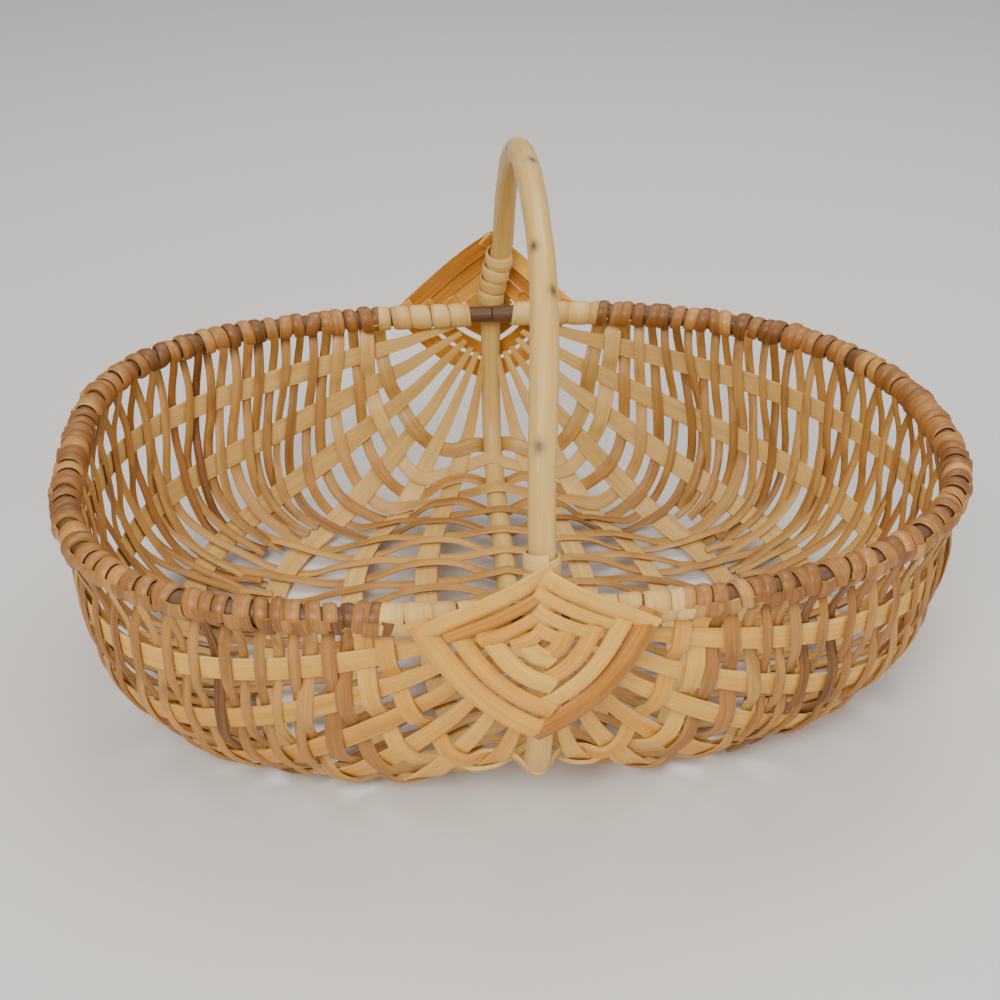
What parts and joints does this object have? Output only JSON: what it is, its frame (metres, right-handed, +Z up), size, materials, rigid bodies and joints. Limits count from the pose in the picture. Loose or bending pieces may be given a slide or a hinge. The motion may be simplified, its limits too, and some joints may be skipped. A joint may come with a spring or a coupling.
{
  "type": "woven market basket",
  "caption": "Oblong ribbed market basket in split willow, with a flat rim, a fixed arched handle, woven god's eye lashings and a two-lobed woven bottom.",
  "frame": {"origin": "on the table under the middle of the basket, at the bottom centre of the part's box", "axes": "+X along the basket's length, -Y towards the front god's eye, +Z up through the handle"},
  "size_m": [0.4601, 0.3326, 0.28],
  "materials": {
    "peeled_rod": "peeled willow, satin, with small dark knots",
    "bark_rod": "brown bark, matt",
    "rib_splint": "split willow, satin",
    "weaving_willow": "split willow, bark outside and pale wood inside",
    "end_willow": "split willow, bark outside and pale wood inside",
    "rim_willow": "brown bark, lightly glossy",
    "golden_splint": "wide golden splint, satin",
    "pale_splint": "wide pale splint, satin"
  },
  "bodies": {
    "root": {"handle_hoop": "peeled_rod", "rim_hoop": "bark_rod", "left_rib_1": "rib_splint", "left_rib_2": "rib_splint", "left_rib_3": "rib_splint", "left_rib_4": "rib_splint", "left_rib_5": "rib_splint", "left_rib_6": "rib_splint", "right_rib_1": "rib_splint", "right_rib_2": "rib_splint", "right_rib_3": "rib_splint", "right_rib_4": "rib_splint", "right_rib_5": "rib_splint", "right_rib_6": "rib_splint", "weaver_01": "weaving_willow", "weaver_02": "weaving_willow", "weaver_03": "weaving_willow", "weaver_04": "weaving_willow", "weaver_05": "weaving_willow", "weaver_06": "weaving_willow", "weaver_07": "weaving_willow", "weaver_08": "weaving_willow", "weaver_09": "weaving_willow", "weaver_10": "weaving_willow", "weaver_11": "weaving_willow", "weaver_12": "weaving_willow", "weaver_13": "weaving_willow", "weaver_14": "weaving_willow", "left_filler_1": "end_willow", "left_filler_2": "end_willow", "left_filler_3": "end_willow", "left_filler_4": "end_willow", "left_filler_5": "end_willow", "left_filler_6": "end_willow", "left_filler_7": "end_willow", "left_filler_8": "end_willow", "left_filler_9": "end_willow", "right_filler_1": "end_willow", "right_filler_2": "end_willow", "right_filler_3": "end_willow", "right_filler_4": "end_willow", "right_filler_5": "end_willow", "right_filler_6": "end_willow", "right_filler_7": "end_willow", "right_filler_8": "end_willow", "right_filler_9": "end_willow", "left_rim_turns": "rim_willow", "right_rim_turns": "rim_willow", "gods_eye_front": "golden_splint", "gods_eye_back": "golden_splint", "rim_wrap_front_left": "golden_splint", "rim_wrap_front_right": "golden_splint", "rim_wrap_back_left": "golden_splint", "rim_wrap_back_right": "golden_splint", "handle_binding_front": "pale_splint", "handle_binding_back": "pale_splint"}
  },
  "joints": []
}
